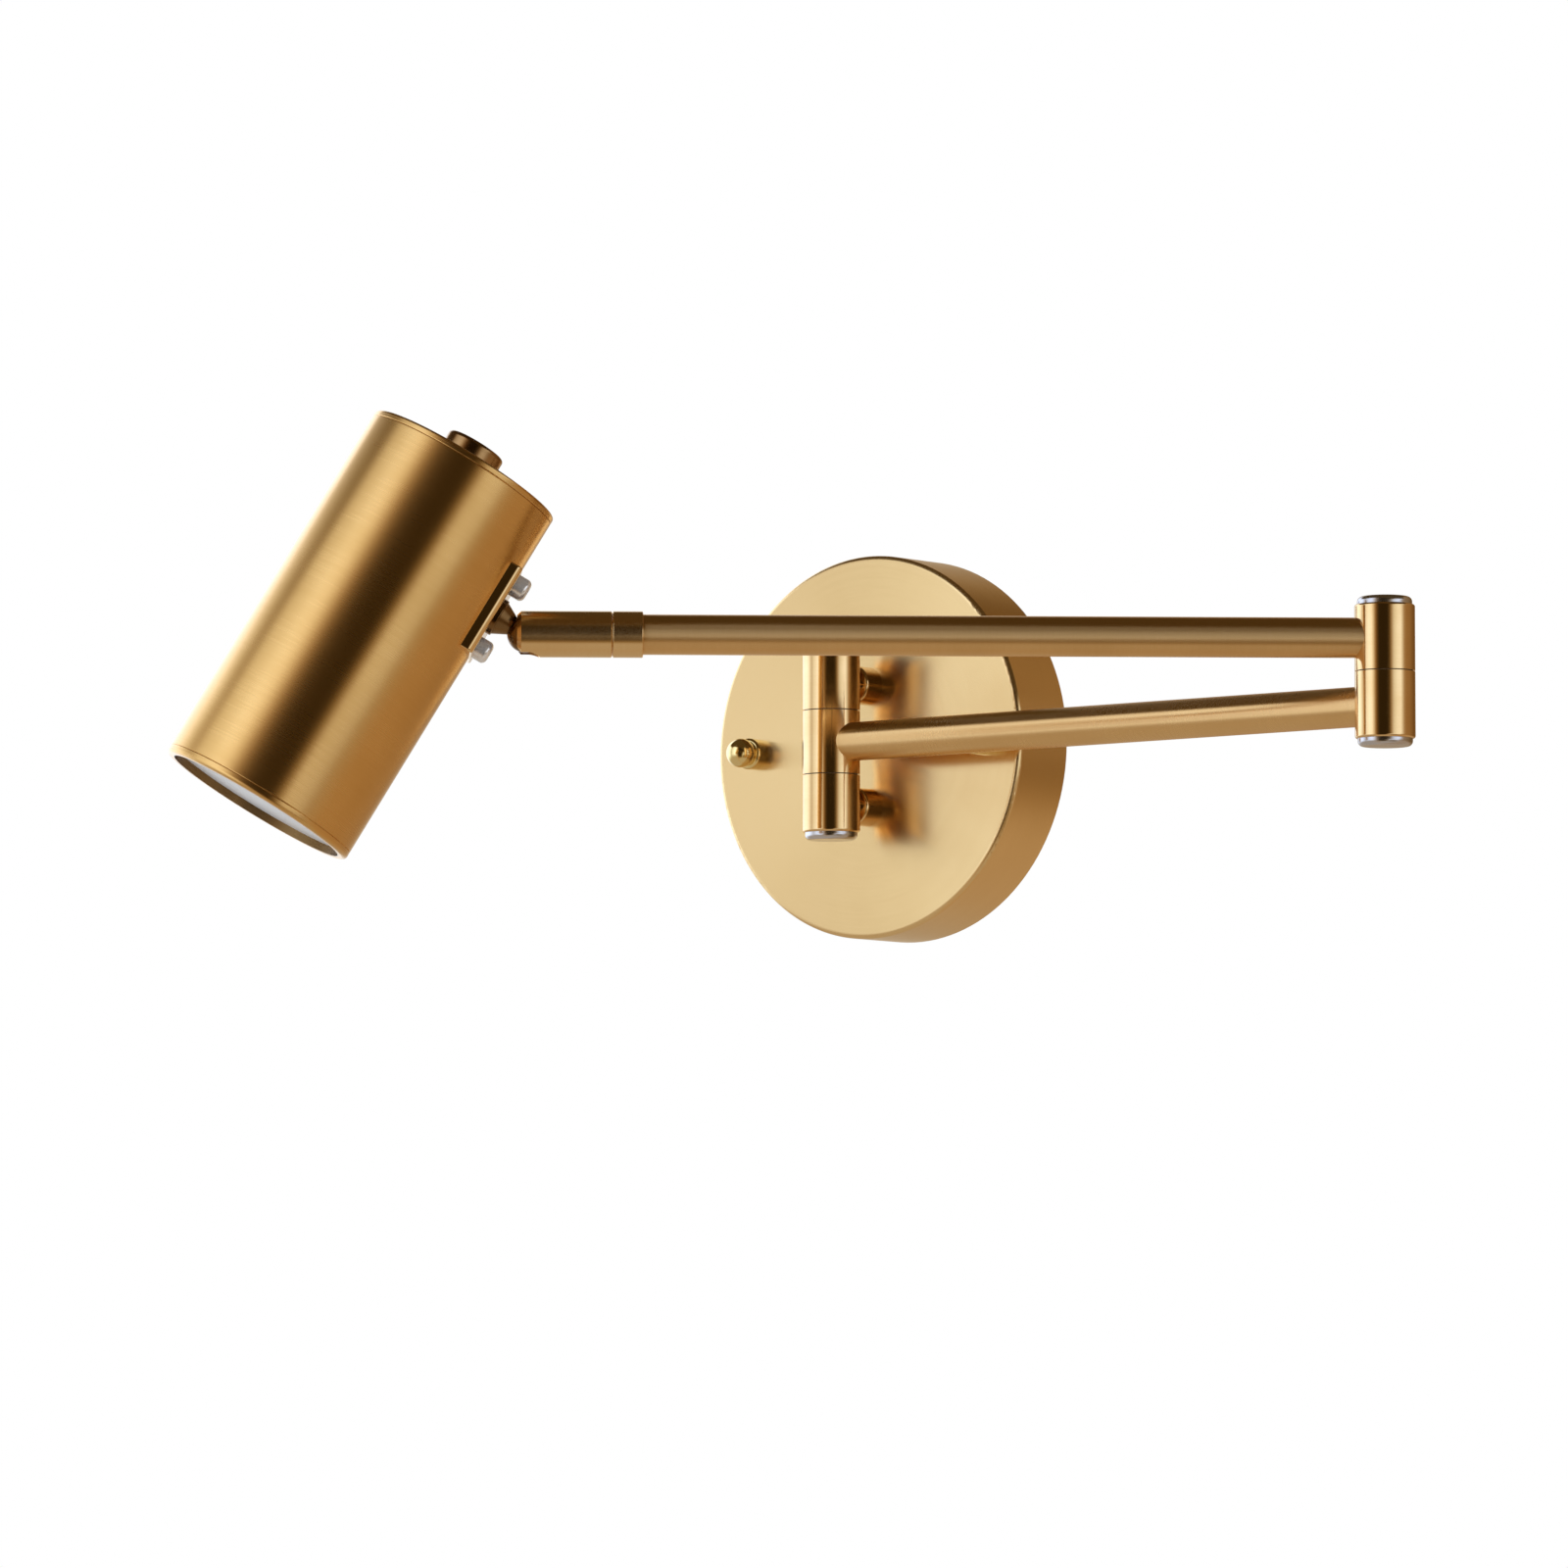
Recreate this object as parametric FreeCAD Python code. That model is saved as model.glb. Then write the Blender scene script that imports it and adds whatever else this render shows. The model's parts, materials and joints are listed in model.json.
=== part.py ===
import FreeCAD, Part
import math
import os

# Bedside wall reading lamp: a round wall canopy, a two-part swing arm and a tilting tubular head.
# Millimetres. The wall is the plane y = 0, the room is towards -Y, +X is to the viewer's right
# and +Z is up. The origin is the centre of the canopy's wall side.

V = FreeCAD.Vector
UP = (0, 0, 1)
DOWN = (0, 0, -1)
OUT = (0, -1, 0)

# Driving dimensions, canopy and wall bar
CANOPY_R = 60.0
CANOPY_DEPTH = 24.0
CANOPY_WALL = 1.5
CANOPY_EDGE = 1.6
BAR_HALF = 52.0
BAR_WIDTH = 16.0
BAR_THICK = 2.0
BAR_CORNER = 5.0
ENTRY_R = 6.0
GROMMET_BORE = 3.5
STUD_X = 45.0
STUD_R = 2.0
STUD_END = 6.0
WALL_SLOT_X = 33.0
WALL_SLOT_LENGTH = 12.0
WALL_SLOT_R = 2.25
TERMINAL_X = 17.0
WIRE_SPREAD = 4.6
EARTH_X = -20.0
EARTH_SCREW_R = 2.0
SMALL_SCREW_R = 1.5

# Post: three stacked knuckles on a hollow pivot
POST_R = 9.0
POST_TO_FACE = 18.0
POST_Y = -(CANOPY_DEPTH + POST_TO_FACE)
KNUCKLE_HALF = 10.0
POST_HALF = 28.0
STANDOFF_Z = 19.0
STANDOFF_R = 6.0
STANDOFF_NECK_R = 4.0
STANDOFF_BODY = 7.6
STANDOFF_BORE = 2.4
STANDOFF_WASHER = 1.0
PIVOT_R = 5.0
PIVOT_BORE = 3.5
CAP_R = 8.2
CAP_THICK = 2.3
CAP_ROUND = 1.6
EDGE_ROUND = 0.8

# Fits
RUNNING = 0.05
WASHER_THICK = 0.3
WASHER_R = 8.3
FACE_GAP = 0.03

# Arms
TUBE_R = 6.0
TUBE_BORE = 4.8
ARM_1 = 210.0
ARM_2_Z = 20.0
ARM_2_END = 220.0
COLLAR_R = 6.9
COLLAR_LENGTH = 9.0
FOLD_ANGLE = 41.2
ELBOW_TOP = 30.0
LEAD_R = 1.5
LEAD_BEND = 4.0
HEAD_LEAD_R = 1.3

# Ball swivel: lengths count from the elbow axis along the upper arm
BALL_X = 254.7
BALL_R = 5.5
NECK_R = 2.95
NECK_START = 4.6
NECK_FLARE_R = 5.2
NOSE = 2.9
NOSE_CHAMFER = 1.6
MOUTH_HALF_ANGLE = 66.5
SLOT_R = 3.9
SLOT_BACK = 0.5
STEM_ANGLE = 31.0
FLANGE_R = 5.8
FLANGE_THICK = 1.2
SPIGOT_R = 2.95

# Head: lengths count from the ball centre; the stem runs along -X and the head axis is upright
# before the head is turned on its stem by HEAD_SPIN
HEAD_SPIN = -2.0
HEAD_R = 30.7
HEAD_LENGTH = 118.6
HEAD_TOP = 33.8
SHELL_WALL = 1.4
SEAM = 0.25
SADDLE_THICK = 0.6
SADDLE_DEPTH = 4.6
SADDLE_LENGTH = 29.4
SADDLE_WIDTH = 28.0
SADDLE_ROUND = 1.9
BALL_TO_SADDLE = 10.0
SCREW_PITCH = 21.6
TOP_CAP_THICK = 2.0
BEZEL_HEIGHT = 2.4
BEZEL_ROUND = 1.2
LIP_R = 28.0
LIP_DEPTH = 2.4
DIFFUSER_THICK = 2.0
BUTTON_R = 9.2
BUTTON_TOP = 7.0
BUTTON_TRAVEL = 2.0
FINS = 20

HEAD_AXIS = -(BALL_TO_SADDLE + SADDLE_THICK + HEAD_R)
HEAD_BOTTOM = HEAD_TOP - HEAD_LENGTH
SHELL_BORE = HEAD_R - SHELL_WALL
ELBOW = (ARM_1, POST_Y, 0)


# ---------------------------------------------------------------- helpers

def rod(radius, length, start, direction):
    """A round bar from start along direction."""
    return Part.makeCylinder(radius, length, V(*start), V(*direction))


def ring(outer, inner, length, start, direction):
    """A round tube or washer."""
    return rod(outer, length, start, direction).cut(rod(inner, length, start, direction))


def block(size, low):
    """A box from its low corner."""
    return Part.makeBox(size[0], size[1], size[2], V(*low))


def lathe(profile):
    """A solid turned about Z from (radius, height) points."""
    points = [V(radius, 0, height) for radius, height in profile]
    face = Part.Face(Part.makePolygon(points + [points[0]]))
    return face.revolve(V(0, 0, 0), V(0, 0, 1), 360)


def join(first, *others):
    """One solid from several."""
    return first.multiFuse(list(others)).removeSplitter()


def group(solids):
    """Separate solids kept together under one name."""
    return Part.makeCompound(solids)


def moved(shape, offset):
    """A copy shifted by offset."""
    result = shape.copy()
    result.translate(V(*offset))
    return result


def aimed(shape, start, direction):
    """A copy of a shape built along +Z from the origin, put at start along direction."""
    result = shape.copy()
    turn = FreeCAD.Placement(V(*start), FreeCAD.Rotation(V(0, 0, 1), V(*direction)))
    result.Placement = turn.multiply(result.Placement)
    return result


def round_rims(shape, heights, radius, size):
    """Round the circular edges of a turned solid that lie at the given heights and radius."""
    chosen = []
    for edge in shape.Edges:
        curve = edge.Curve
        if not isinstance(curve, Part.Circle) or abs(curve.Radius - radius) > 0.01:
            continue
        if any(abs(curve.Center.z - height) < 0.01 for height in heights):
            chosen.append(edge)
    return shape.makeFillet(size, chosen)


def hex_nut(across_flats, bore, height):
    """A hexagon nut along +Z from the origin."""
    corner = across_flats / 2 / math.cos(math.radians(30))
    points = []
    for step in range(7):
        angle = math.radians(60 * step)
        points.append(V(corner * math.cos(angle), corner * math.sin(angle), 0))
    body = Part.Face(Part.makePolygon(points)).extrude(V(0, 0, height))
    bevel = 0.3 * height
    rise = height - bevel
    cone = lathe([(0, 0), (corner, 0), (corner, rise), (corner - bevel, height), (0, height)])
    return body.common(cone).cut(rod(bore, height, (0, 0, 0), UP))


def pan_screw(head_r, head_height, shank_r, shank_length):
    """A cross-recess pan-head screw: head above z = 0, shank below it."""
    head = rod(head_r, head_height, (0, 0, 0), UP)
    head = round_rims(head, [head_height], head_r, 0.4 * head_height)
    shank = rod(shank_r, shank_length, (0, 0, -shank_length), UP)
    arm = 0.62 * head_r
    slit = 0.17 * head_r
    depth = 0.5 * head_height
    recess_1 = block((2 * arm, 2 * slit, depth), (-arm, -slit, head_height - depth))
    recess_2 = block((2 * slit, 2 * arm, depth), (-slit, -arm, head_height - depth))
    return join(head, shank).cut(recess_1).cut(recess_2)


def lead(points, radius, bend):
    """A round flex along runs in one plane, with an arc of the given bend at each turn."""
    edges = []
    start = V(*points[0])
    for index in range(1, len(points) - 1):
        corner = V(*points[index])
        before = (V(*points[index - 1]) - corner).normalize()
        after = (V(*points[index + 1]) - corner).normalize()
        entry = corner + before * bend
        leave = corner + after * bend
        middle = corner + (before + after) * (bend * (1 - math.sqrt(0.5)))
        edges.append(Part.LineSegment(start, entry).toShape())
        edges.append(Part.Arc(entry, middle, leave).toShape())
        start = leave
    edges.append(Part.LineSegment(start, V(*points[-1])).toShape())
    direction = V(*points[1]) - V(*points[0])
    profile = Part.Wire(Part.makeCircle(radius, V(*points[0]), direction))
    return Part.Wire(edges).makePipeShell([profile], True, False)


def place_upper(shape):
    """Put a shape built about the elbow axis, arm along -X, at the rest fold angle."""
    result = shape.copy()
    result.rotate(V(0, 0, 0), V(0, 0, 1), FOLD_ANGLE)
    result.translate(V(*ELBOW))
    return result


def place_head(shape):
    """Put a shape built about the ball centre, stem along -X, at the rest spin and tilt."""
    result = shape.copy()
    result.rotate(V(0, 0, 0), V(1, 0, 0), HEAD_SPIN)
    result.rotate(V(0, 0, 0), V(0, 1, 0), STEM_ANGLE)
    result.translate(V(-BALL_X, 0, ARM_2_Z))
    return place_upper(result)


# ---------------------------------------------------------------- canopy and wall bar

def canopy():
    outer = round_rims(rod(CANOPY_R, CANOPY_DEPTH, (0, 0, 0), UP), [CANOPY_DEPTH], CANOPY_R, CANOPY_EDGE)
    hollow = rod(CANOPY_R - CANOPY_WALL, CANOPY_DEPTH - CANOPY_WALL, (0, 0, 0), UP)
    cup = aimed(outer.cut(hollow), (0, 0, 0), OUT)
    for height in (-STANDOFF_Z, STANDOFF_Z):
        cup = cup.cut(rod(STANDOFF_NECK_R, CANOPY_DEPTH, (0, 0, height), OUT))
    for side in (-STUD_X, STUD_X):
        cup = cup.cut(rod(STUD_R + 0.2, CANOPY_DEPTH, (side, 0, 0), OUT))
    return cup


def wall_bar():
    bar = block((2 * BAR_HALF, BAR_WIDTH, BAR_THICK), (-BAR_HALF, -BAR_WIDTH / 2, 0))
    corners = [edge for edge in bar.Edges if abs(edge.Length - BAR_THICK) < 0.01]
    bar = bar.makeFillet(BAR_CORNER, corners)
    bar = bar.cut(rod(ENTRY_R, BAR_THICK, (0, 0, 0), UP))
    half_run = WALL_SLOT_LENGTH / 2 - WALL_SLOT_R
    slot_size = (2 * half_run, 2 * WALL_SLOT_R, BAR_THICK)
    for side in (-1, 1):
        bar = bar.cut(rod(STUD_R, BAR_THICK, (side * STUD_X, 0, 0), UP))
        middle = side * WALL_SLOT_X
        bar = bar.cut(block(slot_size, (middle - half_run, -WALL_SLOT_R, 0)))
        for end in (-half_run, half_run):
            bar = bar.cut(rod(WALL_SLOT_R, BAR_THICK, (middle + end, 0, 0), UP))
    bar = bar.cut(rod(SMALL_SCREW_R, BAR_THICK, (TERMINAL_X, 0, 0), UP))
    bar = bar.cut(rod(EARTH_SCREW_R, BAR_THICK, (EARTH_X, 0, 0), UP))
    return aimed(bar, (0, 0, 0), OUT)


def cable_grommet():
    lip = 1.3
    body = join(rod(ENTRY_R, BAR_THICK, (0, 0, 0), OUT), rod(ENTRY_R + 1.5, lip, (0, -BAR_THICK, 0), OUT))
    return body.cut(rod(GROMMET_BORE, BAR_THICK + lip, (0, 0, 0), OUT))


def canopy_studs():
    length = CANOPY_DEPTH + STUD_END
    return group([rod(STUD_R, length, (side, 0, 0), OUT) for side in (-STUD_X, STUD_X)])


def stud_nuts():
    nut = hex_nut(7.0, STUD_R, 3.2)
    return group([aimed(nut, (side, -BAR_THICK, 0), OUT) for side in (-STUD_X, STUD_X)])


def canopy_cap_nuts():
    base_r = 4.9
    base_height = 4.4
    ball_r = 4.6
    ball_z = 7.2
    base = round_rims(rod(base_r, base_height, (0, 0, 0), UP), [base_height], base_r, 1.0)
    ball = Part.makeSphere(ball_r, V(0, 0, ball_z))
    ball = ball.common(rod(base_r, 2 * ball_z, (0, 0, base_height - 0.4), UP))
    nut = join(base, ball).cut(rod(STUD_R, STUD_END, (0, 0, 0), UP))
    return group([aimed(nut, (side, -CANOPY_DEPTH, 0), OUT) for side in (-STUD_X, STUD_X)])


def terminal_block():
    body = block((16, 14, 11), (TERMINAL_X - 8, -7, BAR_THICK))
    body = body.cut(rod(SMALL_SCREW_R, 11, (TERMINAL_X, 0, BAR_THICK), UP))
    body = body.cut(rod(2.9, 5, (TERMINAL_X, 0, BAR_THICK + 6), UP))
    for side in (-WIRE_SPREAD, WIRE_SPREAD):
        body = body.cut(rod(1.2, 14, (TERMINAL_X + side, -7, BAR_THICK + 5), (0, 1, 0)))
        body = body.cut(rod(1.4, 6, (TERMINAL_X + side, 4, BAR_THICK + 6), UP))
        body = body.cut(rod(1.4, 6, (TERMINAL_X + side, -4, BAR_THICK + 6), UP))
    return aimed(body, (0, 0, 0), OUT)


def terminal_screw():
    screw = pan_screw(2.8, 2.0, SMALL_SCREW_R, 8.0)
    return aimed(screw, (TERMINAL_X, -(BAR_THICK + 6), 0), OUT)


def earth_screw():
    screw = pan_screw(3.6, 2.4, EARTH_SCREW_R, BAR_THICK)
    return aimed(screw, (EARTH_X, -BAR_THICK, 0), OUT)


DRIVER_SIZE = (48.0, 14.0, 20.0)
DRIVER_PAD = 1.0
DRIVER_TOP = -30.0
DRIVER_BACK = -(CANOPY_DEPTH - CANOPY_WALL - DRIVER_PAD)


def led_driver():
    low = (-DRIVER_SIZE[0] / 2, DRIVER_BACK, DRIVER_TOP - DRIVER_SIZE[2])
    case = block(DRIVER_SIZE, low)
    edges = [edge for edge in case.Edges if abs(edge.Length - DRIVER_SIZE[1]) < 0.01]
    return case.makeFillet(1.5, edges)


def driver_pad():
    return block((40, DRIVER_PAD, 14), (-20, DRIVER_BACK - DRIVER_PAD, DRIVER_TOP - 17))


def supply_leads():
    height = -7.0 - DRIVER_TOP + 4
    y = -(BAR_THICK + 5)
    places = [TERMINAL_X - WIRE_SPREAD, TERMINAL_X + WIRE_SPREAD]
    return group([rod(1.1, height, (x, y, DRIVER_TOP), UP) for x in places])


# ---------------------------------------------------------------- post

def post_axis(height):
    return (0, POST_Y, height)


def standoff():
    """One hollow spacer from the canopy face to the post, threaded at both ends."""
    spigot = 8.0
    body = rod(STANDOFF_R, STANDOFF_BODY, (0, 0, 0), UP)
    body = round_rims(body, [STANDOFF_BODY], STANDOFF_R, 1.0)
    neck = rod(STANDOFF_NECK_R, POST_TO_FACE + spigot, (0, 0, -spigot), UP)
    return join(body, neck)


def standoffs():
    solids = []
    for height in (-STANDOFF_Z, STANDOFF_Z):
        piece = aimed(standoff(), (0, -CANOPY_DEPTH, height), OUT)
        piece = piece.cut(rod(PIVOT_R, 20, (0, POST_Y, height - 10), UP))
        piece = piece.cut(rod(STANDOFF_BORE, CANOPY_DEPTH + POST_TO_FACE, (0, 0, height), OUT))
        solids.append(piece)
    return group(solids)


def standoff_washers():
    y = -(CANOPY_DEPTH - CANOPY_WALL)
    washer = ring(8.0, STANDOFF_NECK_R, STANDOFF_WASHER, (0, y, 0), (0, 1, 0))
    return group([moved(washer, (0, 0, z)) for z in (-STANDOFF_Z, STANDOFF_Z)])


def standoff_nuts():
    y = -(CANOPY_DEPTH - CANOPY_WALL - STANDOFF_WASHER)
    nut = hex_nut(13.0, STANDOFF_NECK_R, 3.6)
    return group([aimed(nut, (0, y, z), (0, 1, 0)) for z in (-STANDOFF_Z, STANDOFF_Z)])


def end_knuckle(side):
    """Fixed upper (side = 1) or lower (side = -1) knuckle of the post."""
    start = KNUCKLE_HALF + WASHER_THICK / 2
    body = rod(POST_R, POST_HALF - start, (0, 0, start), UP)
    body = round_rims(body, [POST_HALF], POST_R, EDGE_ROUND)
    body = body.cut(rod(PIVOT_R, POST_HALF, (0, 0, 0), UP))
    if side < 0:
        body.rotate(V(0, 0, 0), V(1, 0, 0), 180)
    body = moved(body, post_axis(0))
    return body.cut(rod(STANDOFF_NECK_R, 2 * POST_R, (0, POST_Y, side * STANDOFF_Z), (0, 1, 0)))


def post_pivot_tube():
    half = POST_HALF - 2
    tube = ring(PIVOT_R, PIVOT_BORE, 2 * half, post_axis(-half), UP)
    for side in (-STANDOFF_Z, STANDOFF_Z):
        tube = tube.cut(rod(STANDOFF_BORE, 10, (0, POST_Y, side), (0, 1, 0)))
    window = rod(PIVOT_R + 1, 6.0, post_axis(-3), UP)
    web = block((6, 10, 6), (-3, POST_Y + 2.4, -3))
    return tube.cut(window.cut(web))


def post_washers():
    low = KNUCKLE_HALF - WASHER_THICK / 2
    starts = (low, -low - WASHER_THICK)
    return group([ring(WASHER_R, PIVOT_R, WASHER_THICK, post_axis(z), UP) for z in starts])


def end_cap(spigot_r, spigot_length):
    """A rounded end cap above z = 0 on a spigot below it."""
    head = round_rims(rod(CAP_R, CAP_THICK, (0, 0, 0), UP), [CAP_THICK], CAP_R, CAP_ROUND)
    return join(head, rod(spigot_r, spigot_length, (0, 0, -spigot_length), UP))


def post_end_caps():
    cap = end_cap(PIVOT_BORE, 4.0)
    return group([aimed(cap, post_axis(POST_HALF), UP), aimed(cap, post_axis(-POST_HALF), DOWN)])


def canopy_lead():
    y_drop = -11.0
    points = [(0, y_drop, DRIVER_TOP), (0, y_drop, -STANDOFF_Z), (0, POST_Y, -STANDOFF_Z), (0, POST_Y, -6)]
    return lead(points, LEAD_R, LEAD_BEND)


# ---------------------------------------------------------------- lower arm

def middle_knuckle():
    half = KNUCKLE_HALF - WASHER_THICK / 2 - FACE_GAP
    body = ring(POST_R, PIVOT_R + RUNNING, 2 * half, post_axis(-half), UP)
    return body.cut(rod(TUBE_BORE, 2 * POST_R, post_axis(0), (1, 0, 0)))


def lower_arm_tube():
    tube = ring(TUBE_R, TUBE_BORE, ARM_1, post_axis(0), (1, 0, 0))
    for x in (0, ARM_1):
        tube = tube.cut(rod(POST_R, 30, (x, POST_Y, -15), UP))
    return tube


def elbow_lower_knuckle():
    top = KNUCKLE_HALF - WASHER_THICK / 2
    body = rod(POST_R, KNUCKLE_HALF + top, (0, 0, -KNUCKLE_HALF), UP)
    body = round_rims(body, [-KNUCKLE_HALF], POST_R, EDGE_ROUND)
    body = body.cut(rod(PIVOT_R, 30, (0, 0, -15), UP))
    return moved(body.cut(rod(TUBE_BORE, 2 * POST_R, (0, 0, 0), (-1, 0, 0))), ELBOW)


ELBOW_WEB_TOP = 13.0
SPRING_TOP = 13.9
PIVOT_TOP = 16.4
LEAD_SPLIT = 14.0


def elbow_pivot_tube():
    bottom = -7.0
    tube = ring(PIVOT_R, PIVOT_BORE, PIVOT_TOP - bottom, (0, 0, bottom), UP)
    return moved(tube.cut(rod(3.0, 10, (0, 0, 0), (-1, 0, 0))), ELBOW)


def elbow_washer():
    return ring(WASHER_R, PIVOT_R, WASHER_THICK, (ARM_1, POST_Y, KNUCKLE_HALF - WASHER_THICK / 2), UP)


def elbow_spring_washer():
    low = ELBOW_WEB_TOP + FACE_GAP
    dish = lathe([(6.4, low), (6.9, low), (6.9, low + 0.35), (5.6, SPRING_TOP), (5.1, SPRING_TOP),
                  (5.1, SPRING_TOP - 0.35)])
    return moved(dish, ELBOW)


def elbow_pivot_nut():
    nut = hex_nut(11.6, PIVOT_R, PIVOT_TOP - SPRING_TOP)
    return aimed(nut, (ARM_1, POST_Y, SPRING_TOP), UP)


def elbow_bottom_cap():
    cap = end_cap(PIVOT_R, 3.0)
    return aimed(cap, (ARM_1, POST_Y, -KNUCKLE_HALF), DOWN)


def lower_arm_lead():
    points = [(0, POST_Y, -6), (0, POST_Y, 0), (ARM_1, POST_Y, 0), (ARM_1, POST_Y, LEAD_SPLIT)]
    return lead(points, LEAD_R, LEAD_BEND)


# ---------------------------------------------------------------- upper arm, about the elbow axis

ELBOW_SPIGOT_R = 7.2
ELBOW_SPIGOT = 2.5


def elbow_upper_knuckle():
    bottom = KNUCKLE_HALF + WASHER_THICK / 2 + FACE_GAP
    body = rod(POST_R, ELBOW_TOP - bottom, (0, 0, bottom), UP)
    body = round_rims(body, [ELBOW_TOP], POST_R, EDGE_ROUND)
    body = body.cut(rod(PIVOT_R + RUNNING, 10, (0, 0, bottom), UP))
    body = body.cut(rod(ELBOW_SPIGOT_R, 30, (0, 0, ELBOW_WEB_TOP), UP))
    body = body.cut(rod(TUBE_BORE, 2 * POST_R, (0, 0, ARM_2_Z), (-1, 0, 0)))
    return place_upper(body)


def elbow_top_cap():
    cap = aimed(end_cap(ELBOW_SPIGOT_R, ELBOW_SPIGOT), (0, 0, ELBOW_TOP), UP)
    return place_upper(cap)


def upper_arm_tube():
    tube = ring(TUBE_R, TUBE_BORE, ARM_2_END, (0, 0, ARM_2_Z), (-1, 0, 0))
    return place_upper(tube.cut(rod(POST_R, 40, (0, 0, 0), UP)))


NIPPLE_R = 4.0
NIPPLE_BORE = 2.6
PLUG_LENGTH = 3.4
SOCKET_BORE = BALL_R + RUNNING
SOCKET_START = ARM_2_END + COLLAR_LENGTH + 0.1


def along_arm(shape):
    """A shape built along +Z, with z as the distance from the elbow axis, put on the upper arm."""
    return place_upper(aimed(shape, (0, 0, ARM_2_Z), (-1, 0, 0)))


def arm_collar():
    body = rod(COLLAR_R, COLLAR_LENGTH, (0, 0, ARM_2_END), UP)
    body = round_rims(body, [ARM_2_END, ARM_2_END + COLLAR_LENGTH], COLLAR_R, 0.35)
    body = join(body, rod(TUBE_BORE, 6, (0, 0, ARM_2_END - 6), UP))
    return along_arm(body.cut(rod(NIPPLE_R, 20, (0, 0, ARM_2_END - 6), UP)))


def swivel_nipple():
    flange = SOCKET_START + PLUG_LENGTH + 0.1
    start = ARM_2_END - 4
    tube = join(rod(NIPPLE_R, flange + 1.4 - start, (0, 0, start), UP), rod(5.2, 1.4, (0, 0, flange), UP))
    return along_arm(tube.cut(rod(NIPPLE_BORE, 40, (0, 0, start), UP)))


def upper_arm_lead():
    points = [(0, 0, LEAD_SPLIT), (0, 0, ARM_2_Z), (-(SOCKET_START + 6), 0, ARM_2_Z)]
    return place_upper(lead(points, LEAD_R, LEAD_BEND))


# ---------------------------------------------------------------- swivel socket

def swivel_socket():
    tip = BALL_X + NOSE
    body = lathe([(0, SOCKET_START), (COLLAR_R - 0.35, SOCKET_START), (COLLAR_R, SOCKET_START + 0.35),
                  (COLLAR_R, tip - NOSE_CHAMFER), (COLLAR_R - NOSE_CHAMFER, tip), (0, tip)])
    body = body.cut(rod(SOCKET_BORE, BALL_X - SOCKET_START, (0, 0, SOCKET_START), UP))
    body = body.cut(Part.makeSphere(SOCKET_BORE, V(0, 0, BALL_X)))
    reach = 10.0
    spread = reach * math.tan(math.radians(MOUTH_HALF_ANGLE))
    mouth = Part.makeCone(0, spread, reach, V(0, 0, BALL_X), V(0, 0, 1))
    body = aimed(body.cut(mouth), (0, 0, ARM_2_Z), (-1, 0, 0))
    back = -(BALL_X - SLOT_BACK)
    body = body.cut(rod(SLOT_R, 10, (back, 0, ARM_2_Z - 10), UP))
    body = body.cut(block((10, 2 * SLOT_R, 10), (back - 10, -SLOT_R, ARM_2_Z - 10)))
    return place_upper(body)


def socket_plug():
    return along_arm(ring(SOCKET_BORE, NIPPLE_R + RUNNING, PLUG_LENGTH, (0, 0, SOCKET_START), UP))


SEAT_START = BALL_X - 8.6
SEAT_LENGTH = 5.2


def ball_seat():
    body = ring(SOCKET_BORE, 2.8, SEAT_LENGTH, (0, 0, SEAT_START), UP)
    return along_arm(body.cut(Part.makeSphere(BALL_R + RUNNING, V(0, 0, BALL_X))))


def ball_disc_springs():
    """Conical spring washers in alternate directions, from the nipple flange to the seat."""
    start = SOCKET_START + PLUG_LENGTH + 1.6
    count = 8
    pitch = (SEAT_START - start) / count
    thick = 0.45
    solids = []
    for index in range(count):
        low = start + index * pitch
        high = low + pitch
        narrow, wide = 3.1, 5.2
        if index % 2:
            narrow, wide = wide, narrow
        inner = narrow + (0.4 if narrow < wide else -0.4)
        outer = wide + (-0.4 if narrow < wide else 0.4)
        disc = lathe([(narrow, low), (inner, low), (wide, high - thick), (wide, high), (outer, high),
                      (narrow, low + thick)])
        solids.append(along_arm(disc))
    return group(solids)


# ---------------------------------------------------------------- ball stem, about the ball centre

NUT_START = BALL_TO_SADDLE + SADDLE_THICK + SHELL_WALL + 3.2
NUT_HEIGHT = 3.0
SPIGOT_END = NUT_START + NUT_HEIGHT + 1.0
STEM_BORE = 1.6


def ball_stem():
    ball = Part.makeSphere(BALL_R)
    foot = BALL_TO_SADDLE - FLANGE_THICK
    neck = lathe([(0, 0), (NECK_R, 0), (NECK_R, NECK_START), (NECK_FLARE_R, foot), (0, foot)])
    flange = rod(FLANGE_R, FLANGE_THICK, (0, 0, foot), UP)
    flange = round_rims(flange, [foot], FLANGE_R, 0.4)
    spigot = rod(SPIGOT_R, SPIGOT_END, (0, 0, 0), UP)
    body = join(ball, neck, flange, spigot)
    body = body.cut(rod(STEM_BORE, SPIGOT_END + 10, (0, 0, -10), UP))
    body = body.cut(Part.makeCone(4.0, STEM_BORE, 3.0, V(0, 0, -BALL_R), V(0, 0, 1)))
    return place_head(aimed(body, (0, 0, 0), (-1, 0, 0)))


def stem_spring_washer():
    thick = 0.75
    return place_head(ring(5.6, SPIGOT_R, thick, (-(NUT_START - thick), 0, 0), (-1, 0, 0)))


def stem_nut():
    nut = hex_nut(10.0, SPIGOT_R, NUT_HEIGHT)
    return place_head(aimed(nut, (-NUT_START, 0, 0), (-1, 0, 0)))


def stem_lead():
    return place_head(rod(HEAD_LEAD_R, SPIGOT_END, (0, 0, 0), (-1, 0, 0)))


# ---------------------------------------------------------------- head, about the ball centre

def head_rod(radius, low, high):
    """An upright round bar on the head axis."""
    return rod(radius, high - low, (HEAD_AXIS, 0, low), UP)


def head_ring(outer, inner, low, high):
    return head_rod(outer, low, high).cut(head_rod(inner, low, high))


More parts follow.
